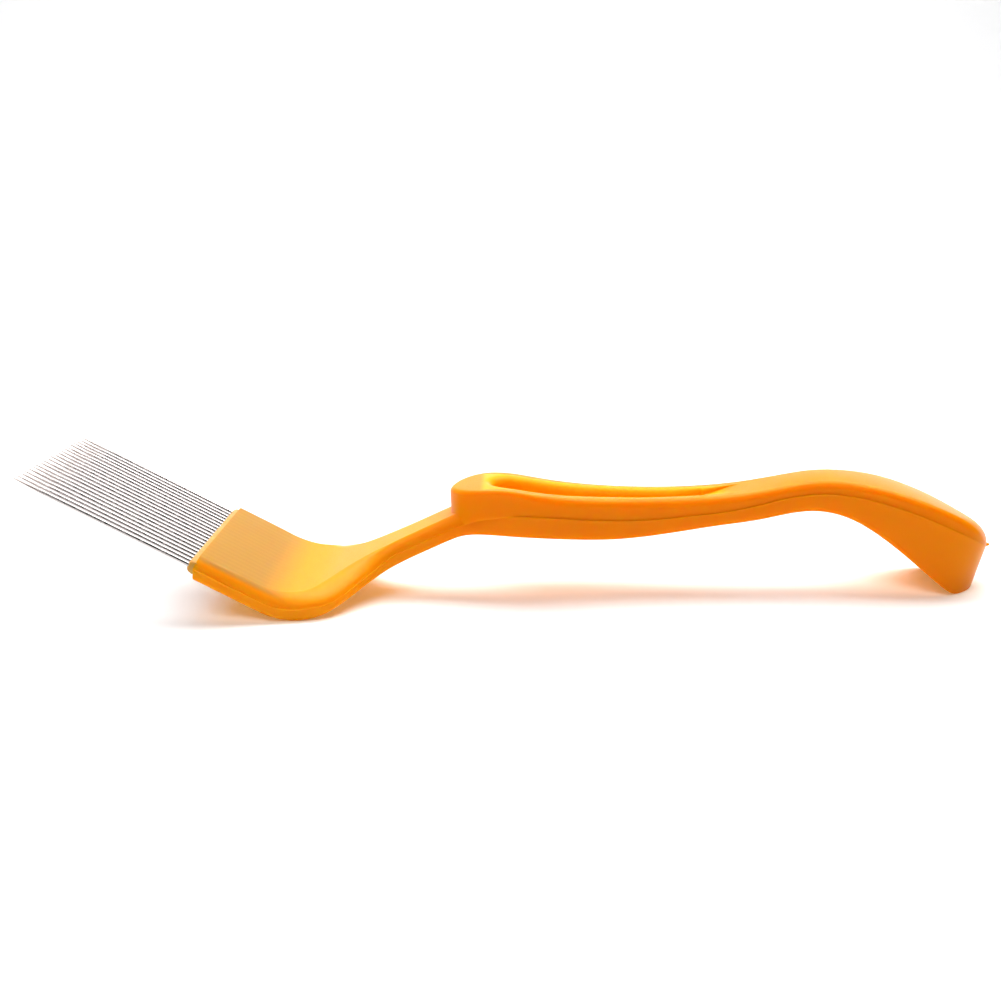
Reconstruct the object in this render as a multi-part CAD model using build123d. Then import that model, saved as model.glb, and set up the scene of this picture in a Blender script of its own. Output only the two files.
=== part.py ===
from build123d import *
import math
import os

os.makedirs("parts", exist_ok=True)

# Uncapping fork, millimetres.  +X runs from the needle points to the tail, +Y across, +Z up.
# It lies as it does on a table: on the bend behind the head and on the flat foot of the tail.

# ---- needles ----
needle_count = 21
needle_pitch = 2.0
needle_diameter = 0.9
needle_exposed = 38.3          # free length in front of the carrier bar
needle_held = 12.0             # length inside the carrier bar
needle_taper = 7.0             # length of the ground point
needle_tip_diameter = 0.12

# ---- carrier bar that holds the needles ----
bar_lip = 1.3                  # stands out of the head
bar_tongue = 13.0              # sits inside the head
bar_thickness = 2.6
bar_end_wall = 0.3             # plastic outside the outer needles
bar_lip_round = 0.9

# ---- head ----
head_tilt = 29.0               # head and needles rise this steeply, degrees
head_front_lean = 10.0         # the front face leans back from upright this much, degrees
head_thickness = 4.8
head_side_wall = 0.45          # plastic outside the ends of the carrier bar
head_front_x = -64.4           # front of the head at the middle of its thickness
head_front_z = 11.7
head_straight = 12.4           # length of the straight sides, seen from above
shoulder_length = 29.0         # from the straight sides to the neck
bend_radius = 15.5

# ---- neck; its slope follows from the bend and from where it meets the loop end ----
neck_thickness = 4.7
neck_half_width = 5.7
neck_length = 7.5              # straight part, between the shoulders and the flare under the loop
neck_end_z = 12.53             # underside of the neck where it meets the loop end

# ---- loop end and grip, heights over the table ----
loop_gap = 1.8                 # from the end of the neck's straight sides to the front of the loop end
loop_radius = 9.2
loop_top_z = 23.7
loop_front_drop = 0.9          # the rim is this much lower at its very front
grip_length = 70.0             # from the middle of the loop end to the top of the hump
grip_under_z = 13.1
saddle_top_z = 20.7            # lowest part of the grip's top
waist_half_width = 6.4         # narrowest part of the grip
waist_under_z = 17.8
hump_top_z = 23.9

# ---- tail ----
tail_length = 35.0             # from the top of the hump to the rearmost point
tail_half_width = 11.0
tail_end_z = 9.0               # height of the rearmost point
tail_corner = 10.6             # rounding of the end of the tail, seen from above
tail_top_round = 3.2
tail_top_turn = 44.0           # this rounding turns through so many degrees
foot_length = 6.9
foot_set_back = 2.4            # from the rearmost point to the end of the foot

# ---- mould parting line ----
parting_ledge = 0.12           # the upper half is this much narrower than the lower
loop_parting_z = 18.1
saddle_parting_z = 16.6
hump_parting_z = 21.5
gate_nub_diameter = 1.1
gate_nub_length = 1.7
gate_nub_drop = 1.0            # under the rearmost point
gate_nub_root = 1.0            # length inside the tail

# ---- groove in the top of the grip ----
groove_rim = 3.1               # wall beside the groove
groove_front_wall = 7.3        # from the front of the loop end
groove_length = 55.4
groove_end_half_width = 3.2
groove_floor = 2.0             # plastic left under the groove

# ---- edge rounding ----
rim_round = 1.0

# ---- derived ----
tilt = math.radians(head_tilt)
front_slant = math.radians(head_tilt - head_front_lean)
row_half = (needle_count - 1) * needle_pitch / 2
bar_half = row_half + needle_diameter / 2 + bar_end_wall
head_half = bar_half + head_side_wall
shoulder_x = head_front_x + head_straight
neck_x = shoulder_x + shoulder_length
loop_front_x = neck_x + neck_length + loop_gap
loop_centre_x = loop_front_x + loop_radius
neck_end_x = loop_front_x + 1.0                      # the neck runs into the loop end
hump_x = loop_centre_x + grip_length
tail_end_x = hump_x + tail_length
foot_end_x = tail_end_x - foot_set_back
foot_start_x = foot_end_x - foot_length
groove_start_x = loop_front_x + groove_front_wall
groove_end_x = groove_start_x + groove_length
tip_x = head_front_x - (bar_lip + needle_exposed) * math.cos(tilt)
centre_x = (tip_x + tail_end_x + gate_nub_length) / 2
above_all = 2 * hump_top_z + needle_exposed
wide = 4 * head_half
ahead_x = head_front_x - 2 * head_thickness          # clear of the head's slanted front


def head_point(forward, up=0.0):
    """Side-view point: forward of the head's front face, and up from the middle of its thickness."""
    x = head_front_x - forward * math.cos(tilt) + up * math.sin(tilt)
    return (x, head_front_z + forward * math.sin(tilt) + up * math.cos(tilt))


def head_plane(forward=0.0):
    """Plane across the head: x across the tool, y up through the head, normal towards the points."""
    x, z = head_point(forward)
    return Plane(origin=(x, 0, z), x_dir=(0, -1, 0), z_dir=(-math.cos(tilt), 0, math.sin(tilt)))


def bend_centre_x():
    """X of the bend's centre, for a bend that just touches the table and meets the head's underside."""
    x, z = head_point(0, -head_thickness / 2)
    reach = (z + bend_radius * math.cos(tilt) - bend_radius) / math.tan(tilt)
    return x + bend_radius * math.sin(tilt) + reach


def neck_slope():
    """Slope of the line that leaves the bend and meets the underside of the loop end, in radians."""
    over_x = neck_end_x - bend_centre_x()
    over_z = neck_end_z - bend_radius
    return math.atan2(over_z, over_x) + math.asin(bend_radius / math.hypot(over_x, over_z))


rise = neck_slope()


def along_grip(share):
    """X at a share of the way from the middle of the loop end to the top of the hump."""
    return loop_centre_x + share * grip_length


def along_tail(share):
    """X at a share of the way from the top of the hump to the rearmost point."""
    return hump_x + share * tail_length


def under_corner():
    """Where the undersides of head and neck would meet if there were no bend."""
    lean = (tilt - rise) / 2
    out = bend_radius / math.cos((tilt + rise) / 2)
    return (bend_centre_x() - out * math.sin(lean), bend_radius - out * math.cos(lean))


def bend_wires(up_head, up_neck, end_x):
    """Head line, bend arc and neck line, held this far above the undersides of head and neck."""
    corner = under_corner()
    head_at = (corner[0] + up_head * math.sin(tilt), corner[1] + up_head * math.cos(tilt))
    neck_at = (corner[0] - up_neck * math.sin(rise), corner[1] + up_neck * math.cos(rise))
    gap_x = neck_at[0] - head_at[0]
    gap_z = neck_at[1] - head_at[1]
    along = (gap_x * math.sin(rise) - gap_z * math.cos(rise)) / math.sin(tilt + rise)
    meet = (head_at[0] + along * math.cos(tilt), head_at[1] - along * math.sin(tilt))
    tangent = bend_radius * math.tan((tilt + rise) / 2)
    start = (meet[0] - tangent * math.cos(tilt), meet[1] + tangent * math.sin(tilt))
    end = (meet[0] + tangent * math.cos(rise), meet[1] + tangent * math.sin(rise))
    lean = (tilt - rise) / 2
    middle = (start[0] + bend_radius * (math.sin(tilt) - math.sin(lean)),
              start[1] + bend_radius * (math.cos(tilt) - math.cos(lean)))
    up_front = up_head - head_thickness / 2
    front = head_point(up_front * math.tan(front_slant), up_front)
    neck_end = (end_x, meet[1] + (end_x - meet[0]) * math.tan(rise))
    return [Line(front, start), ThreePointArc(start, middle, end), Line(end, neck_end)]


def side_profile():
    """Whole outline seen from the side, as a face in the X-Z plane."""
    under = bend_wires(0, 0, neck_end_x)
    over = bend_wires(head_thickness, neck_thickness, loop_front_x)
    neck_under = under[-1] @ 1
    foot_start = (foot_start_x, 0)
    foot_end = (foot_end_x, 0)
    grip_under = Spline(
        (neck_under.X, neck_under.Y),
        (loop_centre_x, grip_under_z + 0.5),
        (along_grip(0.236), grip_under_z - 0.1),
        (along_grip(0.493), grip_under_z + 0.6),
        (along_grip(0.814), waist_under_z - 1.1),
        (along_grip(0.957), waist_under_z),
        (along_tail(0.2), 0.832 * waist_under_z),
        (along_tail(0.543), 0.275 * waist_under_z),
        foot_start,
        tangents=[(math.cos(rise), math.sin(rise)), (1, -0.62)],
    )
    rear = Line(foot_end, (tail_end_x, tail_end_z))
    loop_wall_top = (loop_front_x, loop_top_z - loop_front_drop)
    tail_top = (tail_end_x - tail_top_round, tail_end_z + tail_top_round)
    grip_over = Spline(
        loop_wall_top,
        (along_grip(-0.029), loop_top_z),
        (along_grip(0.114), 0.7 * loop_top_z + 0.3 * saddle_top_z),
        (along_grip(0.314), 0.17 * loop_top_z + 0.83 * saddle_top_z),
        (along_grip(0.529), saddle_top_z),
        (along_grip(0.771), 0.69 * saddle_top_z + 0.31 * hump_top_z),
        (hump_x, hump_top_z),
        (along_tail(0.343), hump_top_z - 1.6),
        (along_tail(0.657), hump_top_z - 5.3),
        tail_top,
        tangents=[(1, 0.2), (1, -0.75)],
    )
    rear_round = JernArc(tail_top, grip_over % 1, tail_top_round, -tail_top_turn)
    close = Line(rear_round @ 1, (tail_end_x, tail_end_z))
    wall = Line(over[-1] @ 1, loop_wall_top)
    front = Line(under[0] @ 0, over[0] @ 0)
    foot = Line(foot_start, foot_end)
    return make_face(under + [grip_under, foot, rear, close, rear_round, grip_over, wall] + over + [front])


def below_parting():
    """Everything below the mould parting line, as a face in the X-Z plane."""
    line = bend_wires(head_thickness / 2, neck_thickness / 2, neck_end_x)
    lead_in = Line(head_point(5, 0), line[0] @ 0)
    last = line[-1] @ 1
    tail = Spline(
        (last.X, last.Y),
        (loop_centre_x, loop_parting_z),
        (along_grip(0.171), loop_parting_z - 0.3),
        (along_grip(0.457), saddle_parting_z),
        (along_grip(0.743), saddle_parting_z + 2.0),
        (hump_x, hump_parting_z),
        (along_tail(0.543), hump_parting_z - 4.5),
        (tail_end_x + 2, tail_end_z - 1.8),
        tangents=[(math.cos(rise), math.sin(rise)), (1, -0.55)],
    )
    start = lead_in @ 0
    end = tail @ 1
    box = Polyline((end.X, end.Y), (end.X, -above_all), (start.X, -above_all), (start.X, start.Y))
    return make_face([lead_in] + line + [tail, box])


def head_side(inset):
    """Half outline of the head: front, straight side and a smooth shoulder down to the neck."""
    steps = [(0, 1), (0.28, 0.97), (0.48, 0.84), (0.62, 0.57), (0.76, 0.21), (0.9, 0.03), (1, 0)]
    spread = head_half - neck_half_width
    shoulder = [(shoulder_x + a * shoulder_length, neck_half_width + b * spread - inset) for a, b in steps]
    front = Line((ahead_x, 0), (ahead_x, head_half - inset))
    side = Line((ahead_x, head_half - inset), shoulder[0])
    return [front, side, Spline(*shoulder, tangents=[(1, 0), (1, 0)])]


def grip_points(inset):
    """Half outline of grip and tail, from beside the loop end to the tail's straight sides."""
    steps = [
        (along_grip(0.1), loop_radius + 0.2),
        (along_grip(0.2), loop_radius - 0.2),
        (along_grip(0.329), loop_radius - 1.2),
        (along_grip(0.6), waist_half_width + 0.6),
        (along_grip(0.914), waist_half_width),
        (along_tail(0.171), waist_half_width + 1.4),
        (along_tail(0.4), tail_half_width - 1.1),
    ]
    return [(x, w - inset) for x, w in steps]


def mirrored_face(half):
    """Face inside a half outline and its mirror image across the middle plane."""
    return make_face(half + [mirror(edge, about=Plane.XZ) for edge in half])


def tail_wires(start, inset):
    """Half outline of the rounded end of the tail, from a point on its side to the middle plane."""
    corner_x = tail_end_x - tail_corner
    corner_y = tail_half_width - tail_corner
    side = Line(start, (corner_x, tail_half_width - inset))
    corner = CenterArc((corner_x, corner_y), tail_corner - inset, 0, 90)
    rear = Line((tail_end_x - inset, corner_y), (tail_end_x - inset, 0))
    return [side, corner, rear]


def lower_plan():
    """Plan of the lower mould half: head, shoulders, neck, grip and tail in one outline."""
    neck_end = (neck_x + neck_length, neck_half_width)
    neck = Line((neck_x, neck_half_width), neck_end)
    body = Spline(neck_end, (loop_centre_x - 2, loop_radius - 1.5), *grip_points(0),
                  (tail_end_x - tail_corner - 1, tail_half_width), tangents=[(1, 0), (1, 0)])
    return mirrored_face(head_side(0) + [neck, body] + tail_wires(body @ 1, 0))


def upper_head_plan():
    """Plan of the upper half of the head and neck, running on into the loop end."""
    half = neck_half_width - parting_ledge
    neck = Line((neck_x, half), (loop_centre_x, half))
    close = Line((loop_centre_x, half), (loop_centre_x, 0))
    return mirrored_face(head_side(parting_ledge) + [neck, close])


def upper_grip_plan():
    """Plan of the upper half of the grip: round loop end, grip and tail."""
    inset = parting_ledge
    end_radius = loop_radius - inset
    half_turn = math.radians(45)
    nose = ThreePointArc(
        (loop_front_x + inset, 0),
        (loop_centre_x - end_radius * math.cos(half_turn), end_radius * math.sin(half_turn)),
        (loop_centre_x, end_radius),
    )
    side = Spline((loop_centre_x, end_radius), *grip_points(inset),
                  (tail_end_x - tail_corner - 1, tail_half_width - inset), tangents=[(1, 0), (1, 0)])
    return mirrored_face([nose, side] + tail_wires(side @ 1, inset))


def upright(face):
    """Solid of a side-view face, as wide as anything on the tool."""
    return extrude(Plane.XZ * face, wide / 2, both=True)


def standing(face):
    """Upright column over and under a plan, taller than anything on the tool."""
    return extrude(face, above_all, both=True)


def groove():
    """Solid that is cut from the top of the grip: a round-ended groove whose floor ramps out."""
    end_half = loop_radius - groove_rim
    centre_x = groove_start_x + end_half
    nose_x = centre_x - end_half * math.cos(math.radians(45))
    nose = ThreePointArc((groove_start_x, 0), (nose_x, end_half * math.sin(math.radians(45))),
                         (centre_x, end_half))
    stop_x = groove_end_x - groove_end_half_width
    side = Line((centre_x, end_half), (stop_x, groove_end_half_width))
    tail = ThreePointArc(
        (stop_x, groove_end_half_width),
        (stop_x + groove_end_half_width * math.cos(math.radians(45)),
         groove_end_half_width * math.sin(math.radians(45))),
        (groove_end_x, 0),
    )
    plan = standing(mirrored_face([nose, side, tail]))
    floor_z = grip_under_z + groove_floor
    floor = Spline((groove_start_x - 1, floor_z + 0.6), (along_grip(0.236), floor_z),
                   (along_grip(0.479), floor_z + 1.0), (groove_end_x + 1, saddle_top_z + 1.4),
                   tangents=[(1, -0.1), (1, 0.25)])
    top = Polyline(floor @ 1, (groove_end_x + 1, above_all), (groove_start_x - 1, above_all), floor @ 0)
    return plan & upright(make_face([floor, top]))


def bar_solid():
    """Carrier bar without its needle holes: a tongue inside the head and a rounded lip in front."""
    tongue = extrude(head_plane() * Rectangle(2 * bar_half, bar_thickness), -bar_tongue)
    lip = extrude(head_plane() * Rectangle(2 * bar_half, bar_thickness), bar_lip)
    towards_points = Axis((0, 0, 0), head_plane().z_dir)
    front_face = lip.faces().sort_by(towards_points)[-1]
    long_edges = front_face.edges().group_by(SortBy.LENGTH)[-1]
    return tongue + fillet(long_edges, bar_lip_round)


def needle_solid(across):
    """One needle: a round shank with a long ground point, lying along the head's middle plane."""
    shank = needle_exposed - needle_taper + needle_held
    start = head_plane(bar_lip - needle_held) * Pos(across, 0, 0)
    body = start * Cylinder(needle_diameter / 2, shank, align=(Align.CENTER, Align.CENTER, Align.MIN))
    point = start * Pos(0, 0, shank) * Cone(
        needle_diameter / 2, needle_tip_diameter / 2, needle_taper,
        align=(Align.CENTER, Align.CENTER, Align.MIN))
    return body + point


def handle_solid():
    """Handle moulding: two mould halves, the groove, the pocket for the bar and the gate nub."""
    profile = upright(side_profile())
    below = upright(below_parting())
    lower = standing(lower_plan()) & profile & below
    upper = profile - below
    upper_head = standing(upper_head_plan()) & upper
    upper_grip = standing(upper_grip_plan()) & upper
    upper_grip = soften_rim(upper_grip)
    nub = Pos(tail_end_x - gate_nub_root, 0, tail_end_z - gate_nub_drop) * Rot(0, 90, 0) * Cylinder(
        gate_nub_diameter / 2, gate_nub_root + gate_nub_length,
        align=(Align.CENTER, Align.CENTER, Align.MIN))
    solid = lower + upper_head + upper_grip + nub
    return solid - groove() - bar_solid()


def soften_rim(solid):
    """Round the long upper edges of the grip."""
    top_edges = [e for e in solid.edges() if abs(e.center().Y) > waist_half_width / 2
                 and e.length > 40 and e.center().Z > saddle_top_z - 1.5]
    return fillet(top_edges, rim_round)


def main():
    shift = Pos(-centre_x, 0, 0)
    export_step(shift * handle_solid(), "parts/handle.step")
    needles = []
    for index in range(needle_count):
        needles.append(needle_solid(index * needle_pitch - row_half))
    bar = bar_solid()
    for index, needle in enumerate(needles):
        bar = bar - needle
        export_step(shift * needle, f"parts/needle_{index + 1:02d}.step")
    export_step(shift * bar, "parts/needle_bar.step")


main()
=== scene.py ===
"""Uncapping fork: a moulded handle with a needle comb, lying on a pale table."""
import math

import bmesh
import bpy
import numpy as np
from bpy.props import FloatProperty, FloatVectorProperty, IntProperty, PointerProperty
from mathutils import Matrix, Vector


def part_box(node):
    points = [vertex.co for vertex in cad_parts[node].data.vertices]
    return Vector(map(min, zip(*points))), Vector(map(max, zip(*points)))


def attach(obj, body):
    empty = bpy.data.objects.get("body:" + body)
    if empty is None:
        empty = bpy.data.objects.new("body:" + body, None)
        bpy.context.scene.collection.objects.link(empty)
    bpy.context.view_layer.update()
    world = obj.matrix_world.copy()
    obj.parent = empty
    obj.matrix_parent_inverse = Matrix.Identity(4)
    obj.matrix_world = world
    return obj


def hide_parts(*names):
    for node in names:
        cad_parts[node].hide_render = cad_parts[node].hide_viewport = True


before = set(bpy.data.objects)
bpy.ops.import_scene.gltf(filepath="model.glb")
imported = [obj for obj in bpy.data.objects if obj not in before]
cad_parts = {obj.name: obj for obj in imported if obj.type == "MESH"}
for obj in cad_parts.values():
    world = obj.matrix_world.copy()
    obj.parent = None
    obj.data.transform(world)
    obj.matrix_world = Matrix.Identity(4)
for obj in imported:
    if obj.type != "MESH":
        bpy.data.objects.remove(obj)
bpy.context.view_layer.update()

bl_info = {
    "name": "Uncapping fork",
    "version": (1, 0, 0),
    "blender": (4, 5, 0),
    "location": "3D View > Sidebar > Uncapping fork",
    "description": "Builds the handle, the needle bar, the needles and the table",
    "category": "Add Mesh",
}

MM = 0.001

# ---------------------------------------------------------------------------
# Where things are, from the frame
# ---------------------------------------------------------------------------

NEEDLES = sorted(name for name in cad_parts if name.startswith("needle_") and name != "needle_bar")
HANDLE_HIGH = np.array(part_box("handle")[1]) / MM
BAR_HIGH = np.array(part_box("needle_bar")[1]) / MM
NEEDLE_LOW, NEEDLE_HIGH = (np.array(corner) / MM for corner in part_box(NEEDLES[0]))
SIDEWAYS = np.array([0, 1, 0])
GATE_NUB = 1.7
BAR_THICKNESS = 2.6
TONGUE_LENGTH = 12.9

# Stations along the tool in millimetres from a mark under the grip; SHIFT moves them into the frame.
HEAD_FRONT = -64.4
FLARE_START = -15.5
LOOP_FRONT = -13.7
GRIP_START = -12.7
LOOP_BACK = 2.5
GROOVE_END = 49.0
TAIL_END = 100.5
SHIFT = HANDLE_HIGH[0] - GATE_NUB - TAIL_END

# ---------------------------------------------------------------------------
# Outlines of the handle, seen from the side (x, z) and from above (x, half width)
# ---------------------------------------------------------------------------

# the first two run on from the neck, which gives them their point at GRIP_START
PARTING_LINE = ((-8.2, 17.35), (-3.5, 18.2), (7.5, 17.85), (18.0, 16.85), (27.5, 16.6), (37.0, 17.3),
                (47.5, 18.6), (57.0, 20.7), (65.5, 21.5), (75.0, 20.2), (84.5, 17.1), (91.8, 13.8),
                (97.2, 10.8), (100.9, 8.3))
GRIP_UNDER = ((-8.6, 13.6), (-4.5, 13.75), (4.6, 13.3), (12.0, 12.75), (21.0, 12.4), (30.0, 13.05),
              (43.0, 14.85), (52.5, 16.1), (61.0, 17.5), (66.0, 17.25), (70.5, 15.9), (76.0, 12.7),
              (84.9, 5.5), (89.3, 1.75), (91.8, 0.2), (93.6, 0.0), (98.1, 0.0))
RIM_TOP = ((-13.7, 22.75), (-6.5, 23.7), (-1.0, 23.5), (3.5, 22.75), (9.4, 21.85), (17.5, 21.15),
           (28.0, 20.75), (38.0, 20.85), (49.5, 21.75), (58.0, 23.1), (65.5, 23.9), (72.0, 23.4),
           (78.0, 22.2), (83.2, 20.6), (88.4, 18.5), (93.4, 16.1), (99.0, 12.9), (103.0, 10.5))
GRIP_HALF_WIDTH = ((LOOP_BACK, 9.4), (9.5, 9.1), (18.5, 8.1), (28.0, 7.3), (38.0, 7.0), (50.0, 6.7),
                   (59.5, 6.4), (66.0, 6.9), (72.0, 8.2), (79.5, 10.0), (87.0, 10.9), (93.6, 11.0))
SHOULDER = ((-52.0, 21.2), (-49.0, 21.1), (-46.0, 20.9), (-43.0, 20.6), (-40.0, 19.9), (-38.0, 19.0),
            (-36.0, 17.3), (-34.0, 14.7), (-32.0, 11.8), (-30.0, 9.2), (-28.0, 7.3), (-26.0, 6.3),
            (-23.0, 5.75), (-19.0, 5.7))
TOP_CREASE = ((-66.0, 19.1), (-52.0, 19.0), (-49.0, 18.6), (-46.0, 17.8), (-44.0, 17.1), (-42.0, 16.0),
              (-40.0, 14.1), (-38.0, 11.8), (-36.0, 9.7), (-34.0, 8.0), (-32.0, 6.7), (-30.0, 5.8),
              (-28.0, 5.2), (-26.0, 4.9), (-22.0, 4.4), (-16.0, 4.3))
GROOVE_HALF_WIDTH = ((-0.2, 6.3), (4.0, 6.3), (12.0, 5.6), (22.0, 4.8), (32.0, 4.2), (42.0, 3.7), (52.0, 3.0))
GROOVE_DEPTH = ((-6.0, 6.4), (14.0, 6.2), (24.0, 5.2), (34.0, 3.3), (42.0, 1.3), (GROOVE_END, 0.0))


def curve_through(knots, at, slopes=(None, None)):
    """Cubic curve through the knots; a slope of None leaves that end free.

    Between two knots a step apart, at the share t of the step:
    y = h00 y0 + h10 step m0 + h01 y1 + h11 step m1, with the tangents m that keep the curvature continuous.
    """
    x, y = np.array(knots, float).T
    n = len(x)
    step = np.diff(x)
    rise = np.diff(y) / step
    matrix = np.zeros((n, n))
    right = np.zeros(n)
    inner = np.arange(1, n - 1)
    matrix[inner, inner - 1] = step[1:]
    matrix[inner, inner] = 2 * (step[:-1] + step[1:])
    matrix[inner, inner + 1] = step[:-1]
    right[inner] = 3 * (step[1:] * rise[:-1] + step[:-1] * rise[1:])
    for end, near, gap, slope in ((0, 1, rise[0], slopes[0]), (n - 1, n - 2, rise[-1], slopes[1])):
        matrix[end, end] = 1 if slope is not None else 2
        matrix[end, near] = 0 if slope is not None else 1
        right[end] = slope if slope is not None else 3 * gap
    tangent = np.linalg.solve(matrix, right)
    at = np.asarray(at, float)
    i = np.clip(np.searchsorted(x, at) - 1, 0, n - 2)
    t = np.clip((at - x[i]) / step[i], 0, 1)
    h00 = (1 + 2 * t) * (1 - t) ** 2
    h10 = t * (1 - t) ** 2
    h01 = t * t * (3 - 2 * t)
    h11 = t * t * (t - 1)
    return h00 * y[i] + h10 * step[i] * tangent[i] + h01 * y[i + 1] + h11 * step[i] * tangent[i + 1]


def ease(at, start, end):
    """0 before start, 1 after end, and a smooth S between them: t t (3 - 2 t)."""
    t = np.clip((at - start) / (end - start), 0, 1)
    return t * t * (3 - 2 * t)


def mesh_object(name, points, faces, sharp_angle=40.0):
    """Mesh from points in millimetres along the outlines' x: doubles merged, smooth, crisp past the angle."""
    mesh = bpy.data.meshes.new(name)
    place = (np.asarray(points, float).reshape(-1, 3) + (SHIFT, 0, 0)) * MM
    mesh.from_pydata(place.tolist(), [], [list(face) for face in faces])
    work = bmesh.new()
    work.from_mesh(mesh)
    bmesh.ops.remove_doubles(work, verts=work.verts, dist=2e-6)
    bmesh.ops.recalc_face_normals(work, faces=work.faces)
    if work.calc_volume(signed=True) < 0:
        bmesh.ops.reverse_faces(work, faces=work.faces)
    work.to_mesh(mesh)
    work.free()
    mesh.shade_smooth()
    mesh.set_sharp_from_angle(angle=math.radians(sharp_angle))
    obj = bpy.data.objects.new(name, mesh)
    bpy.context.scene.collection.objects.link(obj)
    return obj


def fuse(obj, piece):
    """Join a closed piece into the object as one skin, with nothing left inside."""
    join = obj.modifiers.new("join", "BOOLEAN")
    join.operation = "UNION"
    join.solver = "MANIFOLD"
    join.object = piece
    graph = bpy.context.evaluated_depsgraph_get()
    joined = bpy.data.meshes.new_from_object(obj.evaluated_get(graph))
    obj.modifiers.clear()
    obj.data = joined
    mesh = piece.data
    bpy.data.objects.remove(piece)
    bpy.data.meshes.remove(mesh)


def ring_faces(stations, ring):
    """Quads between closed rings of equal size, one ring per station."""
    i, j = np.meshgrid(np.arange(stations - 1), np.arange(ring), indexing="ij")
    k = (j + 1) % ring
    quads = np.stack([i * ring + j, i * ring + k, (i + 1) * ring + k, (i + 1) * ring + j], -1)
    return quads.reshape(-1, 4).tolist()


def tube_faces(stations, ring):
    """Quads between the rings, and one face over each end."""
    ends = [list(range(ring))[::-1], [i + (stations - 1) * ring for i in range(ring)]]
    return ring_faces(stations, ring) + ends


def fan_faces(ring, first, centre):
    """Triangles that close a ring of points with one point in its middle."""
    j = np.arange(ring)
    return np.stack([first + j, first + (j + 1) % ring, centre + 0 * j], -1).tolist()


def mirrored_ring(half):
    """Closed rings from half rings that start and end on the middle plane: the half, then its mirror."""
    twin = half[:, ::-1].copy()
    twin[..., 1] *= -1
    return np.concatenate([half, twin], 1)


# ---------------------------------------------------------------------------
# Settings
# ---------------------------------------------------------------------------

class ForkHandleSettings(bpy.types.PropertyGroup):
    """Sizes and colours of the handle moulding."""
    head_tilt: FloatProperty(name="Head tilt", description="Rise of head and needles", unit="ROTATION",
                             default=math.radians(29.0))
    neck_rise: FloatProperty(name="Neck rise", description="Slope of the neck", unit="ROTATION",
                             default=math.radians(24.0))
    head_thickness: FloatProperty(name="Head thickness", description="Thickness of the head",
                                  unit="LENGTH", default=4.8 * MM)
    neck_thickness: FloatProperty(name="Neck thickness", description="Thickness of the neck",
                                  unit="LENGTH", default=4.7 * MM)
    neck_half_width: FloatProperty(name="Neck half width", description="Half the width of the neck",
                                   unit="LENGTH", default=5.7 * MM)
    bend_radius: FloatProperty(name="Bend radius", description="Radius of the bend behind the head",
                               unit="LENGTH", default=15.5 * MM)
    loop_radius: FloatProperty(name="Loop radius", description="Radius of the round end of the grip",
                               unit="LENGTH", default=9.2 * MM)
    edge_round: FloatProperty(name="Edge round", description="Rounding of the moulding's outer edges",
                              unit="LENGTH", default=1.1 * MM)
    ledge: FloatProperty(name="Parting ledge", description="Step in along the mould parting line",
                         unit="LENGTH", default=0.10 * MM)
    flash: FloatProperty(name="Flash", description="How far the flash stands out of the parting line",
                         unit="LENGTH", default=0.09 * MM)
    colour: FloatVectorProperty(name="Plastic", description="Colour of the plastic", subtype="COLOR",
                                size=3, min=0, max=1, default=(0.77, 0.212, 0.001))
    head_colour: FloatVectorProperty(name="Head tint", description="Plastic over the embedded needles",
                                     subtype="COLOR", size=3, min=0, max=1, default=(0.42, 0.205, 0.026))
    front_colour: FloatVectorProperty(name="Front", description="Plastic of head and neck, a little yellower",
                                      subtype="COLOR", size=3, min=0, max=1, default=(0.78, 0.275, 0.004))
    # painted light: a brighter yellow in the groove, in place of light through the thin rim
    groove_painted_light: FloatVectorProperty(name="Groove", description="Plastic inside the groove",
                                       subtype="COLOR", size=3, min=0, max=1, default=(0.95, 0.36, 0.002))


class ForkNeedleSettings(bpy.types.PropertyGroup):
    """Sizes and colours of the needles and their bar."""
    taper: FloatProperty(name="Taper", description="Length of the ground point", unit="LENGTH",
                         default=7.0 * MM)
    tip_radius: FloatProperty(name="Tip radius", description="Radius at the very point", unit="LENGTH",
                              default=0.05 * MM)
    unevenness: FloatProperty(name="Unevenness", description="How far points stray from their row",
                              unit="LENGTH", default=0.12 * MM)
    facets: IntProperty(name="Facets", description="Sides of a needle's round section", default=20)
    steel: FloatVectorProperty(name="Steel", description="Colour of the needles", subtype="COLOR",
                               size=3, min=0, max=1, default=(0.50, 0.46, 0.45))
    bar_colour: FloatVectorProperty(name="Bar", description="Colour of the carrier bar",
                                    subtype="COLOR", size=3, min=0, max=1, default=(0.60, 0.29, 0.02))
    bar_round: FloatProperty(name="Bar rounding", description="Rounding of the bar's front edges",
                             unit="LENGTH", default=0.9 * MM)


class ForkStageSettings(bpy.types.PropertyGroup):
    """Camera, table and lights."""
    lens_angle: FloatProperty(name="View angle", description="Camera's angle of view", unit="ROTATION",
                              default=2 * math.atan(500.5 / 1230))
    camera_place: FloatVectorProperty(name="Camera place", description="Where the camera stands",
                                      subtype="TRANSLATION", size=3,
                                      default=(SHIFT * MM, -0.25513, 0.08464))
    camera_down: FloatProperty(name="Camera down", description="How far the camera looks down",
                               unit="ROTATION", default=math.radians(14.331))
    camera_turn: FloatProperty(name="Camera turn", description="Turn of the camera to the left",
                               unit="ROTATION", default=math.radians(0.669))
    camera_roll: FloatProperty(name="Camera roll", description="Roll of the camera",
                               unit="ROTATION", default=math.radians(-0.985))
    table: FloatVectorProperty(name="Table", description="Colour of the table", subtype="COLOR",
                               size=3, min=0, max=1, default=(0.88, 0.88, 0.88))
    # painted glow: colour of the orange emission painted on the table under the plastic, in place of light
    # through the plastic
    glow: FloatVectorProperty(name="Glow", description="Table under the translucent plastic",
                              subtype="COLOR", size=3, min=0, max=1, default=(1.0, 0.68, 0.25))


# ---------------------------------------------------------------------------
# Handle
# ---------------------------------------------------------------------------

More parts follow.
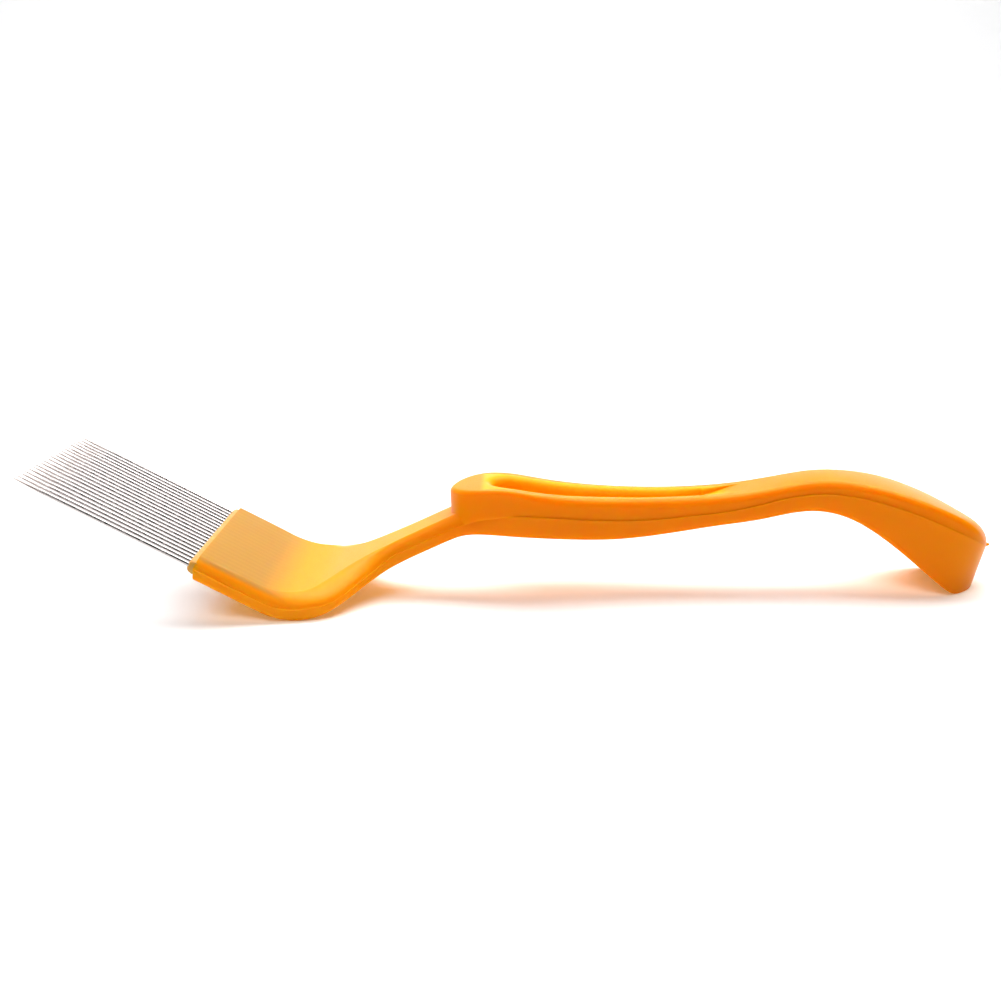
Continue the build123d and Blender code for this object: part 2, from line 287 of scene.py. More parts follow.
class HandleShape:
    """Side curves and widths of the handle, all in millimetres along x."""

    def __init__(self, settings):
        s = settings
        self.tilt = s.head_tilt
        self.rise = s.neck_rise
        self.head_thickness = s.head_thickness / MM
        self.neck_thickness = s.neck_thickness / MM
        self.neck_half = s.neck_half_width / MM
        self.bend = s.bend_radius / MM
        self.loop = s.loop_radius / MM
        self.edge = s.edge_round / MM
        self.ledge = s.ledge / MM
        self.flash = s.flash / MM
        self.head_half = HANDLE_HIGH[1] - self.flash
        # how far the needle bar stands out of the head
        self.lip = 1.3
        # the middle of the head's front lies on the line of bar and needles
        reach = HEAD_FRONT - (NEEDLE_LOW[0] - SHIFT)
        self.front = (HEAD_FRONT, NEEDLE_HIGH[2] - reach * math.tan(self.tilt) - 0.06)
        self.loop_centre = LOOP_FRONT + self.loop
        self.tail_corner = 10.6
        self.tail_round = 3.6
        halfway = (self.head_thickness / 2, self.neck_thickness / 2)
        self.parting_line = ((GRIP_START, float(self.bent(GRIP_START, *halfway))), *PARTING_LINE)
        self.grip_under = ((GRIP_START, float(self.bent(GRIP_START, 0, 0))), *GRIP_UNDER)

    def bent(self, x, up_head, up_neck):
        """Head line, bend and neck line at a height above the undersides: line, arc, line."""
        t, r, radius = self.tilt, self.rise, self.bend
        half = self.head_thickness / 2
        under = (self.front[0] - half * math.sin(t), self.front[1] - half * math.cos(t))
        reach = (under[1] + radius * math.cos(t) - radius) / math.tan(t)
        centre = under[0] + radius * math.sin(t) + reach
        lean = (t - r) / 2
        out = radius / math.cos((t + r) / 2)
        corner = np.array([centre - out * math.sin(lean), radius - out * math.cos(lean)])
        head = corner + up_head * np.array([math.sin(t), math.cos(t)])
        neck = corner + up_neck * np.array([-math.sin(r), math.cos(r)])
        gap = neck - head
        along = (gap[0] * math.sin(r) - gap[1] * math.cos(r)) / math.sin(t + r)
        meet = head + along * np.array([math.cos(t), -math.sin(t)])
        tangent = radius * math.tan((t + r) / 2)
        start = meet + tangent * np.array([-math.cos(t), math.sin(t)])
        end = meet + tangent * np.array([math.cos(r), math.sin(r)])
        hub = start + radius * np.array([math.sin(t), math.cos(t)])
        arc = hub[1] - np.sqrt(np.maximum(radius ** 2 - (x - hub[0]) ** 2, 0))
        line_in = meet[1] - (x - meet[0]) * math.tan(t)
        line_out = meet[1] + (x - meet[0]) * math.tan(r)
        return np.where(x < start[0], line_in, np.where(x > end[0], line_out, arc))

    def parting(self, x):
        """Height of the parting line: halfway up head and neck, lower at the shoulders, then its curve."""
        bent = self.bent(x, self.head_thickness / 2, self.neck_thickness / 2)
        sag = 1.0 * ease(x, -42.0, -36.0) * (1 - ease(x, -32.5, -24.0))
        grip = curve_through(self.parting_line, x, (math.tan(self.rise), None))
        return np.where(x < GRIP_START, bent - sag, grip)

    def under(self, x):
        """Height of the underside."""
        bent = self.bent(x, 0, 0)
        grip = curve_through(self.grip_under, x, (math.tan(self.rise), 0))
        return np.where(x < GRIP_START, bent, grip)

    def neck_top(self, x):
        """Height of the top of head and neck."""
        return self.bent(x, self.head_thickness, self.neck_thickness)

    def rim_top(self, x):
        """Height of the top of loop end, grip and tail."""
        return curve_through(RIM_TOP, x)

    def lean(self, x):
        """Lean of a section: square to head and neck, upright in the grip, then turning to the tail's end."""
        head = self.tilt * (1 - ease(x, -52.5, -43.5))
        neck = -self.rise * ease(x, -43.5, -37.5) * (1 - ease(x, -20.0, -12.0))
        end = math.atan2(TAIL_END - GRIP_UNDER[-1][0], self.parting(np.array(TAIL_END)))
        return head + neck + end * ease(x, 62.0, TAIL_END)

    def reach(self, x, surface):
        """Distance from the parting line to a surface along each section's lean, by repeated steps."""
        z = self.parting(x)
        slant = np.tan(self.lean(x))
        at = x.copy()
        for _ in range(30):
            at = x + (surface(at) - z) * slant
        return (surface(at) - z) / np.cos(self.lean(x))

    def tail_narrowing(self, x):
        """How much the rounded tail corners take off the half width: c - sqrt(c c - past past)."""
        c = self.tail_corner
        past = np.clip(x - (TAIL_END - c), 0, c)
        return c - np.sqrt(c * c - past * past)

    def grip_half(self, x):
        """Half width of grip and tail."""
        return curve_through(GRIP_HALF_WIDTH, x, (0, 0)) - self.tail_narrowing(x)

    def lower_half(self, x):
        """Half width of the lower mould half: head, shoulders, neck, flare under the loop, grip, tail."""
        head = np.minimum(self.head_half, curve_through(SHOULDER, x, (0, 0)))
        knots = ((FLARE_START, self.neck_half), (-6.5, self.loop - 1.5), GRIP_HALF_WIDTH[0])
        flare = curve_through(knots, x, (0, 0))
        return np.where(x < FLARE_START, head, np.where(x < LOOP_BACK, flare, self.grip_half(x)))

    def top_half(self, x):
        """Half width of the flat top of head and neck, inside its rounded edge."""
        return curve_through(TOP_CREASE, x, (0, 0))

    def end_cover(self, x, inside):
        """Share of its height that the top keeps at a distance inside the tail's rounded end.

        1 - s (1 - sqrt(1 - k k)), with s rising along the tail and k falling from 1 to 0 over tail_round.
        """
        short = np.clip((self.tail_round - inside) / self.tail_round, 0, 1)
        return 1 - ease(x, 90.0, 99.0) * (1 - np.sqrt(1 - short ** 2))

    def tail_distance(self, x, y):
        """Distance inside the outline of the tail's rounded end."""
        c = self.tail_corner
        past = np.clip(x - (TAIL_END - c), 0, None)
        side = np.clip(np.abs(y) - (GRIP_HALF_WIDTH[-1][1] - c), 0, None)
        return np.clip(c - np.hypot(past, side), 0, None)

    def stations_to_end(self, start, count):
        """Stations from start to the tail's end, crowding towards the rounded corners."""
        straight = np.linspace(start, TAIL_END - self.tail_corner, count, endpoint=False)
        turn = np.linspace(0, math.pi / 2, 22)
        return np.concatenate([straight, TAIL_END - self.tail_corner + self.tail_corner * np.sin(turn)])


def fillet_steps(count):
    """Angles from 0 to a right angle."""
    return np.linspace(0, math.pi / 2, count)


def body_half_ring(shape, x):
    """Half section of the lower body at each station: underside, rounded edge, side, flash, upper side, top.

    Each row is a distance out from the middle plane and a height above the parting line. A round of radius r
    is r (1 - sin a) and r (1 - cos a); the upper edge is a wide ellipse from the side to the top's crease.
    """
    down = shape.reach(x, shape.under)
    # under the upper grip the top of the neck sinks to a sliver above the parting line
    cover = ease(x, -11.6, -8.6)
    sliver = 0.02
    up = shape.reach(x, shape.neck_top) * (1 - cover)
    half = shape.lower_half(x)
    low_round = np.minimum.reduce([shape.edge - 0.7 * ease(x, 74.0, 88.0), 0.8 * -down, 0.6 * half])
    top_round = 0.86 * np.maximum(up, sliver)
    crease = np.minimum(shape.top_half(x), np.where(x < -10.0, half - 0.3, 0.6 * half))
    draft = 0.02
    draft_low = draft * -down
    draft_up = draft * up
    out, height = [], []

    def add(o, h):
        out.append(o + 0 * x)
        height.append(h + 0 * x)

    low_half = half - draft_low
    for share in np.linspace(0, 1, 7):
        add(share * (low_half - low_round), down)
    for a in fillet_steps(7)[1:]:
        add(low_half - low_round * (1 - np.sin(a)), down + low_round * (1 - np.cos(a)))
    for share in np.linspace(0, 1, 8)[1:]:
        h = (down + low_round) * (1 - share) - 0.22 * share
        add(low_half + draft_low * share, h)
    add(half + 0.55 * shape.flash, -0.12)
    add(half + shape.flash, -0.03)
    add(half + 0.75 * shape.flash, 0.05)
    add(half - shape.ledge, 0.10 * (1 - cover) + sliver * cover)
    upper_half = half - shape.ledge - draft_up
    shoulder = up - top_round
    for share in np.linspace(0, 1, 6)[1:]:
        add(half - shape.ledge - draft_up * share, np.maximum(0.12 + (shoulder - 0.12) * share, sliver))
    turn = math.radians(58)
    for a in np.linspace(0, turn, 12)[1:]:
        back = (1 - math.cos(a)) / (1 - math.cos(turn))
        lift = math.sin(a) / math.sin(turn)
        add(upper_half - (upper_half - crease) * back, np.maximum(shoulder + top_round * lift, sliver))
    for share in (0.985, 0.95, 0.85, 0.7, 0.5, 0.25, 0.0):
        add(share * crease, np.maximum(up, sliver))
    return place_on_sections(shape, x[:, None], np.array(out).T, np.array(height).T)


def place_on_sections(shape, x, out, height):
    """Points in leaning sections: (x + height sin lean, out, parting + height cos lean), never below 0."""
    lean = shape.lean(x)
    z = shape.parting(x) + height * np.cos(lean)
    return np.stack([x + height * np.sin(lean), out, np.maximum(z, 0)], -1)


def build_lower_body(shape):
    """Head, neck and lower half of the grip: sections carried along the parting line, closed at both ends."""
    x = np.concatenate([
        np.linspace(shape.front[0], -53.0, 14, endpoint=False),
        np.linspace(-53.0, -36.0, 46, endpoint=False),
        np.linspace(-36.0, -12.5, 40, endpoint=False),
        shape.stations_to_end(-12.5, 150)])
    half = body_half_ring(shape, x)
    ring = mirrored_ring(half)
    count = ring.shape[1]
    forward, upward = head_axes(shape)
    # the lower edge of the front is cut back a little
    rise = (ring[0] - (shape.front[0], 0, shape.front[1])) @ upward
    ring[0] -= np.clip(-rise, 0, None)[:, None] * 0.4 * forward
    ends = [(shape.front[0], 0, shape.front[1]), ring[-1].mean(0)]
    total = len(ring) * count
    faces = ring_faces(len(ring), count) + fan_faces(count, 0, total)
    faces += fan_faces(count, total - count, total + 1)
    return np.concatenate([ring.reshape(-1, 3), ends]), faces


def grip_plan(shape):
    """Plan lines of the upper grip at each station: outer edge, groove edge, middle, and the way in.

    Round the loop end the stations fan out from its centre, at (c - r cos a, r sin a); beyond it they cross
    the grip.
    """
    turn = np.linspace(0, math.pi / 2, 36, endpoint=False)
    x = shape.stations_to_end(shape.loop_centre, 170)
    ledge = shape.ledge + 0.07
    radius = shape.loop - ledge
    groove_centre, groove_radius = GROOVE_HALF_WIDTH[0]
    shift = (groove_centre - shape.loop_centre) * (1 - ease(x, shape.loop_centre, 20.0))
    join = (LOOP_BACK, GRIP_HALF_WIDTH[0][1] - ledge)
    loop_half = curve_through(((shape.loop_centre, radius), join), x, (0, 0))
    outer_half = np.where(x < LOOP_BACK, loop_half, shape.grip_half(x) - ledge)
    groove_half = curve_through(GROOVE_HALF_WIDTH, x + shift)
    groove_half = np.minimum(groove_half, 0.45 * outer_half + np.where(x < 40, 10, 0))
    outer_x = np.concatenate([shape.loop_centre - radius * np.cos(turn), x])
    outer_y = np.concatenate([radius * np.sin(turn), outer_half])
    groove_x = np.concatenate([groove_centre - groove_radius * np.cos(turn), x + shift])
    groove_y = np.concatenate([groove_radius * np.sin(turn), groove_half])
    middle_x = np.concatenate([groove_centre + np.linspace(-3.0, 0.0, len(turn), endpoint=False), x + shift])
    inward = np.stack([np.concatenate([np.cos(turn), 0 * x]), np.concatenate([-np.sin(turn), 0 * x - 1])], -1)
    outer = np.stack([outer_x, outer_y], -1)
    groove = np.stack([groove_x, groove_y], -1)
    middle = np.stack([middle_x, 0 * middle_x], -1)
    return outer, groove, middle, inward


def build_upper_grip(shape):
    """Upper half of grip and tail: wall, rounded rim, groove with rounded edges and a floor that ramps out.

    Each ring is a line in plan (an outline moved inwards) and a drop below the rim's top, or a fixed height
    above the parting line. A round of radius r is r (1 - cos a) inwards and r (1 - sin a) down.
    """
    outer, groove, middle, inward = grip_plan(shape)
    rim = np.linalg.norm(groove - outer, axis=1)
    toward = (groove - outer) / rim[:, None]
    x = outer[:, 0]
    tall = shape.reach(x, shape.rim_top)
    end_round = shape.end_cover(x, 0)
    bull = 1.0 + 0.65 * ease(x, -2.0, 8.0) - 0.35 * ease(x, 36.0, 60.0)
    outer_round = np.minimum(bull, 0.8 * tall * end_round)
    depth = np.where(groove[:, 0] < GROOVE_END, curve_through(GROOVE_DEPTH, groove[:, 0], (0, 0)), 0)
    depth = np.maximum(depth, 0)
    inner_round = np.minimum(1.9, 0.6 * depth)
    floor_round = np.minimum(1.0, 0.3 * depth)
    crown = 0.35 * ease(x, 48.0, 64.0)
    wall_draft, groove_draft = 0.015, 0.04
    # the closed underside lies a little below the parting line, inside the lower body
    sunk = -0.3
    plan, drop, fixed = [], [], []

    def add(place, d, height=None):
        plan.append(place)
        drop.append(d + 0 * x)
        fixed.append(height)

    for share in (0.0, 0.4, 0.8):
        add(middle * (1 - share) + outer * share, 0, sunk)
    add(outer + 0.25 * inward, 0, sunk)
    add(outer + 0.03 * inward, 0, sunk)
    wall = tall * end_round - outer_round
    for share in np.linspace(0, 1, 8):
        add(outer + wall_draft * (wall * share)[:, None] * inward, 0, wall * share)
    for a in fillet_steps(9)[1:]:
        offset = outer_round * (1 - np.cos(a)) + wall_draft * wall
        add(outer + offset[:, None] * toward, outer_round * (1 - np.sin(a)))
    start = outer + (outer_round + wall_draft * wall)[:, None] * toward
    for share in np.linspace(0, 1, 6)[1:]:
        add(start * (1 - share) + groove * share, 0)
    for a in fillet_steps(8)[1:]:
        add(groove + (inner_round * np.sin(a))[:, None] * inward, inner_round * (1 - np.cos(a)))
    for share in np.linspace(0, 1, 5)[1:]:
        low = inner_round + (depth - floor_round - inner_round) * share
        add(groove + (inner_round + groove_draft * (low - inner_round))[:, None] * inward, low)
    foot = inner_round + groove_draft * np.maximum(depth - floor_round - inner_round, 0)
    for a in fillet_steps(6)[1:]:
        add(groove + (foot + floor_round * (1 - np.cos(a)))[:, None] * inward,
            depth - floor_round * (1 - np.sin(a)))
    edge = groove + (foot + floor_round)[:, None] * inward
    for share in np.linspace(0, 1, 6)[1:]:
        add(edge * (1 - share) + middle * share, depth)
    half = []
    for place, d, height in zip(plan, drop, fixed):
        at = place[:, 0]
        if height is None:
            tall_here = shape.reach(at, shape.rim_top)
            close_here = shape.end_cover(at, shape.tail_distance(at, place[:, 1]))
            swell = crown * (1 - (place[:, 1] / np.maximum(outer[:, 1], 1)) ** 2)
            h = (tall_here + swell) * close_here - d
        else:
            h = height + 0 * x
        half.append(place_on_sections(shape, at, place[:, 1], h))
    half = np.array(half).transpose(1, 0, 2)
    half[:, 0, 1] = 0
    half[:, -1, 1] = 0
    ring = mirrored_ring(half)
    count = ring.shape[1]
    total = len(ring) * count
    faces = ring_faces(len(ring), count) + fan_faces(count, total - count, total)
    return np.concatenate([ring.reshape(-1, 3), [ring[-1].mean(0)]]), faces


def build_gate_nub(shape):
    """Broken sprue at the tail's end: rings of radius r (1 + 0.12 sin(3 a + 4 along)) out to a point."""
    turn = np.linspace(0, 2 * math.pi, 20, endpoint=False)
    z = shape.parting(np.array(TAIL_END)) - 0.4
    rows = []
    for along, radius in ((-1.6, 0.6), (-0.2, 0.55), (0.5, 0.5), (1.2, 0.46), (1.55, 0.3), (1.66, 0.02)):
        wobble = 1 + 0.12 * np.sin(3 * turn + 4 * along)
        rows.append(np.stack([TAIL_END + along + 0 * turn, radius * wobble * np.cos(turn),
                              z + 0.8 * radius * wobble * np.sin(turn)], -1))
    return np.array(rows), tube_faces(len(rows), len(turn))


class FORK_OT_handle(bpy.types.Operator):
    """Build the handle moulding"""
    bl_idname = "fork.handle"
    bl_label = "Handle"

    def execute(self, context):
        shape = HandleShape(context.scene.fork_handle)
        handle = mesh_object("handle_moulding", *build_lower_body(shape))
        for piece in (build_upper_grip(shape), build_gate_nub(shape)):
            fuse(handle, mesh_object("handle_piece", *piece))
        handle.data.set_sharp_from_angle(angle=math.radians(40))
        handle.data.materials.clear()
        handle.data.materials.append(plastic_material(context.scene.fork_handle))
        handle.data.polygons.foreach_set("material_index", [0] * len(handle.data.polygons))
        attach(handle, "root")
        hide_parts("handle")
        return {"FINISHED"}


# ---------------------------------------------------------------------------
# Needle bar and needles
# ---------------------------------------------------------------------------

def head_axes(shape):
    """Directions forward along the needles and up through the head."""
    forward = np.array([-math.cos(shape.tilt), 0, math.sin(shape.tilt)])
    upward = np.array([math.sin(shape.tilt), 0, math.cos(shape.tilt)])
    return forward, upward


class FORK_OT_bar(bpy.types.Operator):
    """Build the carrier bar that holds the needles"""
    bl_idname = "fork.bar"
    bl_label = "Needle bar"

    def execute(self, context):
        shape = HandleShape(context.scene.fork_handle)
        settings = context.scene.fork_needles
        forward, upward = head_axes(shape)
        middle = np.array([shape.front[0], 0, shape.front[1]])
        half = BAR_HIGH[1]
        end = 0.6
        across = np.concatenate([[-half, -half + 0.06, -half + 0.2, -half + 0.4],
                                 np.linspace(-half + end, half - end, 420),
                                 [half - 0.4, half - 0.2, half - 0.06, half]])
        # rounded ends, and a low swell of the lip at each needle
        inset = np.clip((np.abs(across) - (half - end)) / end, 0, 1)
        squeeze = end * (1 - np.sqrt(np.maximum(1 - inset ** 2, 0)))
        wave = np.cos(2 * math.pi * across / needle_pitch()) ** 2
        swell = 0.09 * wave * (np.abs(across) < half - 0.7) - 0.06
        tall = BAR_THICKNESS / 2 + 0 * across
        rounding = settings.bar_round / MM
        # inside the head the tongue has half the height, so that it stays clear of the rounded edges
        profile = [(-TONGUE_LENGTH + 0 * across, 0 * across)]
        for along, share in ((-TONGUE_LENGTH, 0.5), (-6.0, 0.5), (-0.9, 0.5), (-0.3, 0.9), (0.0, 1.0)):
            profile.append((along + 0 * across, share * tall))
        for a in fillet_steps(7):
            ahead = shape.lip - rounding * (1 - np.sin(a)) - squeeze + swell * np.sin(a)
            profile.append((ahead, tall - squeeze * 0.5 - rounding * (1 - np.cos(a))))
        profile.append((shape.lip - squeeze + swell, 0 * across))
        upper = np.array(profile)
        lower = upper[::-1][1:-1].copy()
        lower[:, 1] *= -1
        section = np.concatenate([upper, lower]).transpose(2, 0, 1)
        points = (middle + section[..., :1] * forward + section[..., 1:] * upward
                  + across[:, None, None] * SIDEWAYS)
        bar = mesh_object("needle_bar_strip", points, tube_faces(*points.shape[:2]), 50)
        bar.data.materials.append(bar_material(settings))
        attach(bar, "root")
        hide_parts("needle_bar")
        return {"FINISHED"}


def needle_pitch():
    """Distance between neighbouring needles in the frame, in millimetres."""
    first, second = (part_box(name)[0].y / MM for name in NEEDLES[:2])
    return abs(second - first)


class FORK_OT_needles(bpy.types.Operator):
    """Build the steel needles, each with its ground point"""
    # radius at the share s of the point: tip + (radius - tip) s ** 0.72
    bl_idname = "fork.needles"
    bl_label = "Needles"

    def execute(self, context):
        shape = HandleShape(context.scene.fork_handle)
        settings = context.scene.fork_needles
        material = steel_material(settings)
        chance = np.random.default_rng(21)
        forward, upward = head_axes(shape)
        turn = np.linspace(0, 2 * math.pi, settings.facets, endpoint=False)
        tip_inset = 0.09
        bow_length = 38.0
        for name in NEEDLES:
            low, high = (np.array(corner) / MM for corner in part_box(name))
            radius = (high[1] - low[1]) / 2
            y = (high[1] + low[1]) / 2
            tip = np.array([low[0] - SHIFT + tip_inset, y, high[2] - tip_inset])
            length = (high[2] - low[2] - 2 * radius * math.cos(shape.tilt)) / math.sin(shape.tilt)
            taper = settings.taper / MM * (1 + 0.12 * chance.uniform(-1, 1))
            short = settings.unevenness / MM * (1 + chance.uniform(-1, 1))
            sway = settings.unevenness / MM * chance.uniform(-1, 1, 2)
            back = np.concatenate([np.linspace(0, taper, 14) + short, np.linspace(taper + 2, length, 16)])
            share = np.clip((back - short) / taper, 0, 1)
            size = settings.tip_radius / MM + (radius - settings.tip_radius / MM) * share ** 0.72
            bow = np.clip(1 - back / bow_length, 0, 1) ** 2
            centre = (tip - back[:, None] * forward + (bow * sway[0])[:, None] * SIDEWAYS
                      - (bow * abs(sway[1]))[:, None] * upward)
            circle = np.cos(turn)[:, None] * SIDEWAYS + np.sin(turn)[:, None] * upward
            rows = centre[:, None] + size[:, None, None] * circle
            needle = mesh_object(name + "_wire", rows, tube_faces(*rows.shape[:2]), 50)
            needle.data.materials.append(material)
            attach(needle, "root")
            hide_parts(name)
        return {"FINISHED"}


# ---------------------------------------------------------------------------
# Materials
# ---------------------------------------------------------------------------

def new_material(name):
    """Empty node material with a Principled shader, and its tree."""
    material = bpy.data.materials.new(name)
    material.use_nodes = True
    tree = material.node_tree
    tree.nodes.clear()
    shader = tree.nodes.new("ShaderNodeBsdfPrincipled")
    output = tree.nodes.new("ShaderNodeOutputMaterial")
    tree.links.new(shader.outputs["BSDF"], output.inputs["Surface"])
    return material, tree, shader


def add_node(tree, kind, **values):
    """New node with its named inputs or attributes set."""
    node = tree.nodes.new(kind)
    for key, value in values.items():
        if key in node.inputs:
            node.inputs[key].default_value = value
        else:
            setattr(node, key, value)
    return node


def math_node(tree, operation, a, b=None):
    """Math node on links or numbers; gives its output."""
    node = tree.nodes.new("ShaderNodeMath")
    node.operation = operation
    for socket, value in zip(node.inputs, (a, b)):
        if value is None:
            continue
        if isinstance(value, (int, float)):
            socket.default_value = value
        else:
            tree.links.new(value, socket)
    return node.outputs[0]


def range_node(tree, value, low, high, to_low=0.0, to_high=1.0):
    """Map a value's range to another in a smooth S, clamped."""
    node = tree.nodes.new("ShaderNodeMapRange")
    node.interpolation_type = "SMOOTHSTEP"
    for key, number in (("From Min", low), ("From Max", high), ("To Min", to_low), ("To Max", to_high)):
        node.inputs[key].default_value = number
    tree.links.new(value, node.inputs["Value"])
    return node.outputs["Result"]


def mix_colour(tree, factor, a, b):
    """Mix two colours given as links or values."""
    node = tree.nodes.new("ShaderNodeMix")
    node.data_type = "RGBA"
    for socket, value in ((node.inputs[0], factor), (node.inputs[6], a), (node.inputs[7], b)):
        if isinstance(value, (int, float)):
            socket.default_value = value
        elif isinstance(value, (tuple, list)):
            socket.default_value = (*value[:3], 1)
        else:
            tree.links.new(value, socket)
    return node.outputs[2]


def noise(tree, coordinates, scale, detail=2.0):
    """Noise texture on the given coordinates; gives its factor."""
    node = add_node(tree, "ShaderNodeTexNoise", Scale=scale, Detail=detail)
    tree.links.new(coordinates, node.inputs["Vector"])
    return node.outputs["Fac"]


def plastic_material(settings):
    """Translucent orange-yellow moulding, duller and finely streaked over the embedded needles, with painted
    light in the groove.
    """
    material, tree, shader = new_material("orange_plastic")
    place = tree.nodes.new("ShaderNodeTexCoord").outputs["Object"]
    parts = tree.nodes.new("ShaderNodeSeparateXYZ")
    tree.links.new(place, parts.inputs[0])
    x, y, z = parts.outputs
    head_end = (-49.5 + SHIFT) * MM
    over_needles = range_node(tree, x, head_end + 5 * MM, head_end - 3 * MM)
    # over the needles means on the head's top side, above the middle of its thickness
    tilt = settings.head_tilt
    front_x, front_z = HandleShape(settings).front
    upward = math_node(tree, "ADD", math_node(tree, "MULTIPLY", x, math.sin(tilt)),
                       math_node(tree, "MULTIPLY", z, math.cos(tilt)))
    middle = ((front_x + SHIFT) * math.sin(tilt) + front_z * math.cos(tilt)) * MM
    on_top = range_node(tree, upward, middle + 1.5 * MM, middle + 2.3 * MM)
    over_needles = math_node(tree, "MULTIPLY", over_needles, on_top)
    # painted light inside the groove: a brighter yellow in place of light that comes through the thin rim;
    # the mask narrows to the tail, lies between both ends, and stays above the floor
    aside = math_node(tree, "ADD", math_node(tree, "ABSOLUTE", y), math_node(tree, "MULTIPLY", x, 0.07))
    groove = range_node(tree, aside, 6.9 * MM, 6.3 * MM)
    for edge, start, end in ((x, -9.0, -7.5), (x, 46.0, 40.0), (z, 14.2, 15.0)):
        groove = math_node(tree, "MULTIPLY", groove, range_node(tree, edge, start * MM, end * MM))
    wave = math_node(tree, "COSINE", math_node(tree, "MULTIPLY", y, 2 * math.pi / (needle_pitch() * MM)))
    streak = range_node(tree, wave, -1, 1)
    blotch = noise(tree, place, 90.0, 3.0)
    grain = noise(tree, place, 2600.0)
    streak_colour, blotch_colour = (0.35, 0.162, 0.02), (0.77, 0.235, 0.002)
    tint = mix_colour(tree, math_node(tree, "MULTIPLY", streak, 0.3), tuple(settings.head_colour),
                      streak_colour)
    base = mix_colour(tree, math_node(tree, "MULTIPLY", blotch, 0.3), tuple(settings.colour),
                      blotch_colour)
    golden = range_node(tree, x, (-8 + SHIFT) * MM, (-24 + SHIFT) * MM)
    base = mix_colour(tree, golden, base, tuple(settings.front_colour))
    base = mix_colour(tree, groove, base, tuple(settings.groove_painted_light))
    colour = mix_colour(tree, over_needles, base, tint)
    tree.links.new(colour, shader.inputs["Base Color"])
    rough = range_node(tree, grain, 0.3, 0.7, 0.28, 0.34)
    tree.links.new(rough, shader.inputs["Roughness"])
    shader.inputs["Subsurface Weight"].default_value = 0.85
    shader.inputs["Subsurface Radius"].default_value = (1.0, 0.35, 0.05)
    shader.inputs["Subsurface Scale"].default_value = 0.0035
    shader.inputs["IOR"].default_value = 1.5
    shader.inputs["Specular IOR Level"].default_value = 0.05
    bump = add_node(tree, "ShaderNodeBump", Strength=0.04, Distance=0.00002)
    tree.links.new(grain, bump.inputs["Height"])
    tree.links.new(bump.outputs["Normal"], shader.inputs["Normal"])
    return material


def bar_material(settings):
    """Yellow moulded strip, a little duller than the handle."""
    material, tree, shader = new_material("yellow_strip")
    place = tree.nodes.new("ShaderNodeTexCoord").outputs["Object"]
    blotch = noise(tree, place, 500.0, 3.0)
    blotch_colour = (0.50, 0.23, 0.015)
    colour = mix_colour(tree, blotch, tuple(settings.bar_colour), blotch_colour)
    tree.links.new(colour, shader.inputs["Base Color"])
    rough = range_node(tree, blotch, 0.3, 0.7, 0.3, 0.45)
    tree.links.new(rough, shader.inputs["Roughness"])
    shader.inputs["Subsurface Weight"].default_value = 0.6
    shader.inputs["Subsurface Radius"].default_value = (1.0, 0.5, 0.1)
    shader.inputs["Subsurface Scale"].default_value = 0.0012
    return material


def steel_material(settings):
    """Drawn steel wire with a faint speckle in its gloss, browner and darker towards the ground points."""
    material, tree, shader = new_material("needle_wire")
    place = tree.nodes.new("ShaderNodeTexCoord").outputs["Object"]
    parts = tree.nodes.new("ShaderNodeSeparateXYZ")
    tree.links.new(place, parts.inputs[0])
    tip_x = NEEDLE_LOW[0] * MM
    near_tip = range_node(tree, parts.outputs[0], tip_x + 9 * MM, tip_x)
    speckle = noise(tree, place, 900.0, 3.0)
    stain = math_node(tree, "MULTIPLY", near_tip, math_node(tree, "MULTIPLY", speckle, 0.9))
    stain_colour = (0.20, 0.13, 0.09)
    colour = mix_colour(tree, stain, tuple(settings.steel), stain_colour)
    tree.links.new(colour, shader.inputs["Base Color"])
    shader.inputs["Metallic"].default_value = 1.0
    rough = range_node(tree, speckle, 0.3, 0.7, 0.16, 0.3)
    tree.links.new(rough, shader.inputs["Roughness"])
    return material


def table_material(settings):
    """Pale matt table with a very faint mottle, and a painted orange glow where the plastic covers it, in
    place of light through the plastic.
    """
    material, tree, shader = new_material("pale_table")
    place = tree.nodes.new("ShaderNodeTexCoord").outputs["Object"]
    parts = tree.nodes.new("ShaderNodeSeparateXYZ")
    tree.links.new(place, parts.inputs[0])
    mottle_colour = (0.88, 0.88, 0.885)
    pale = mix_colour(tree, noise(tree, place, 3.0), tuple(settings.table), mottle_colour)
    # painted glow: orange emission on the table where nearby shapes occlude it, right of the head's front, in
    # place of light through the plastic
    cover = add_node(tree, "ShaderNodeAmbientOcclusion", Distance=0.022, samples=6)
    painted_glow_cover = range_node(tree, cover.outputs["AO"], 0.97, 0.35)
    painted_glow_span = range_node(tree, parts.outputs[0], -0.072, -0.058)
    glow = math_node(tree, "MULTIPLY", painted_glow_cover, painted_glow_span)
    painted_glow_strength = 0.26
    tree.links.new(pale, shader.inputs["Base Color"])
    shader.inputs["Emission Color"].default_value = (*settings.glow, 1)
    tree.links.new(math_node(tree, "MULTIPLY", glow, painted_glow_strength), shader.inputs["Emission Strength"])
    shader.inputs["Roughness"].default_value = 0.8
    shader.inputs["Specular IOR Level"].default_value = 0.2
    return material


# ---------------------------------------------------------------------------
# Stage
# ---------------------------------------------------------------------------

